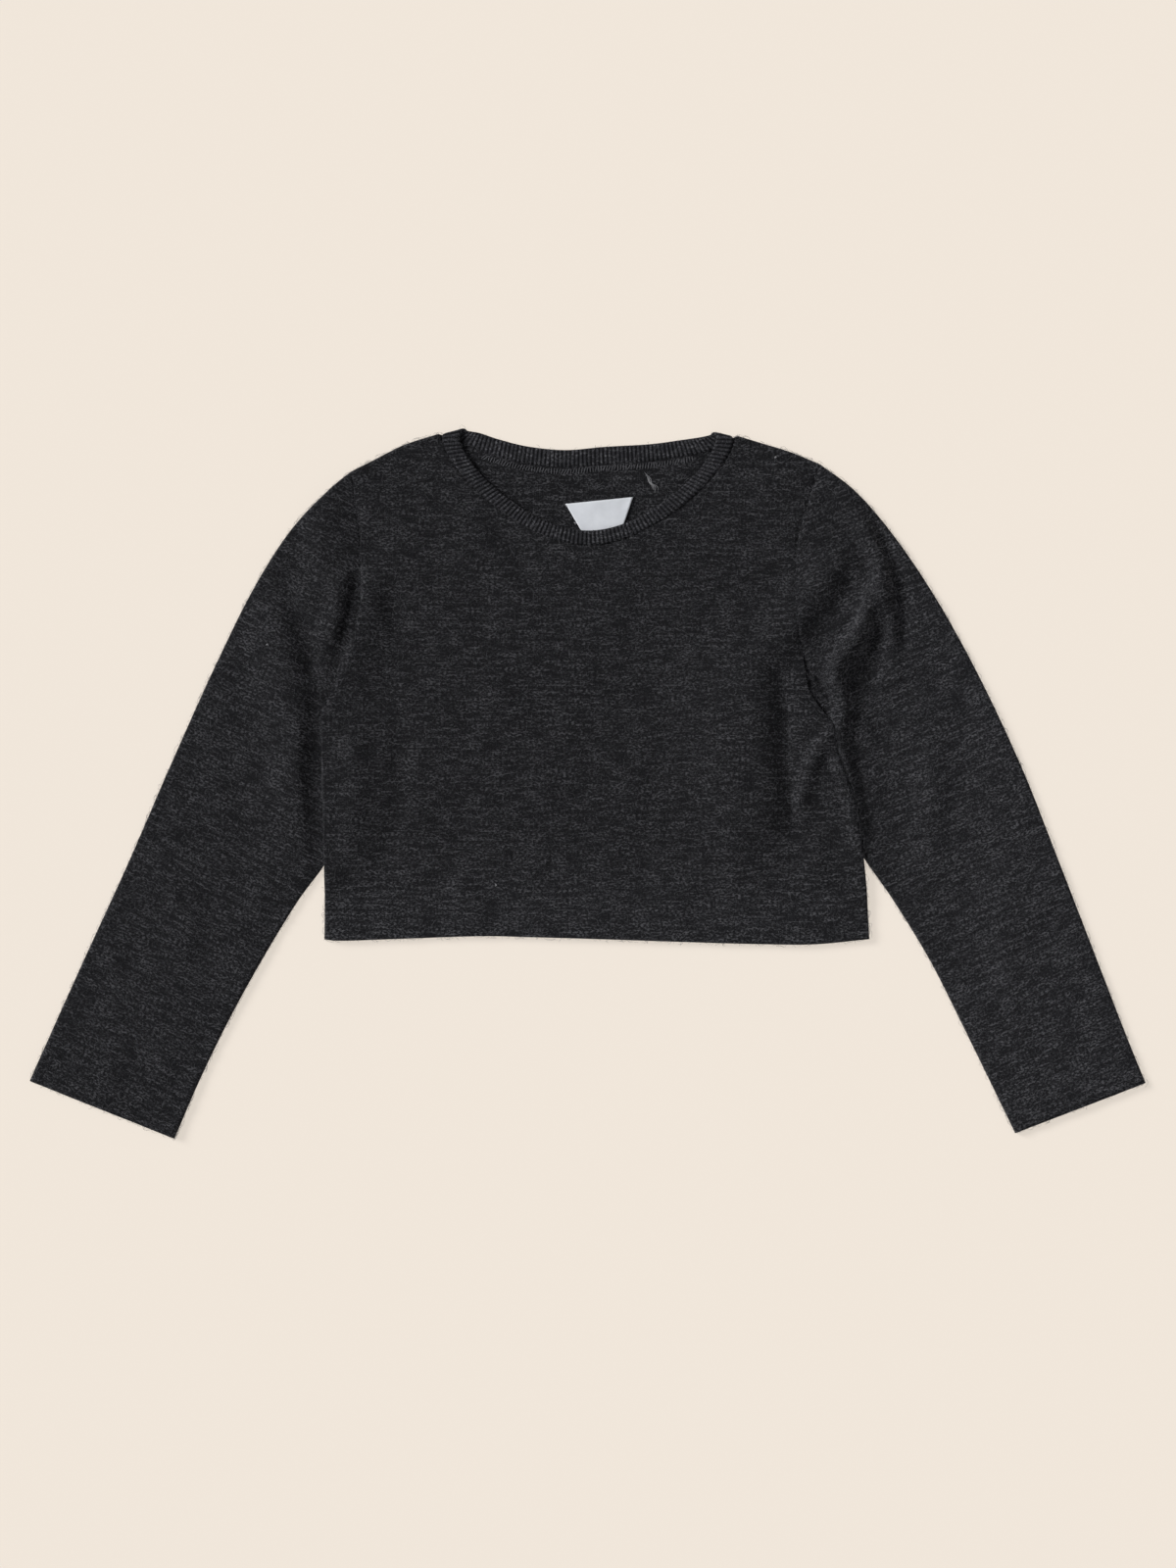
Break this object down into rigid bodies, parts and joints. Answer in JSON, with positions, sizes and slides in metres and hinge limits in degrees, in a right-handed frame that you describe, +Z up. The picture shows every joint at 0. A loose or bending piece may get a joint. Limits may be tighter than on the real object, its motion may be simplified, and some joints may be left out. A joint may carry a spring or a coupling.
{
  "type": "sweater",
  "caption": "Child's cropped crew-neck sweater in fine wool jersey, with a narrow ribbed neckband, long set-in sleeves and plain turned hems, laid flat on its back",
  "frame": {"origin": "the middle of the garment's box, on the surface that it lies on", "axes": "+X across the garment from cuff to cuff, +Y from the hem towards the neck, +Z up out of the front"},
  "size_m": [0.6836, 0.4352, 0.01],
  "materials": {
    "jersey": "matt, faintly fuzzy charcoal melange wool jersey",
    "rib": "matt charcoal wool rib",
    "label": "smooth white woven satin, bare"
  },
  "bodies": {
    "root": {"front": "jersey", "back": "jersey", "sleeve_left": "jersey", "sleeve_right": "jersey", "neckband": "rib", "label": "label"}
  },
  "joints": []
}
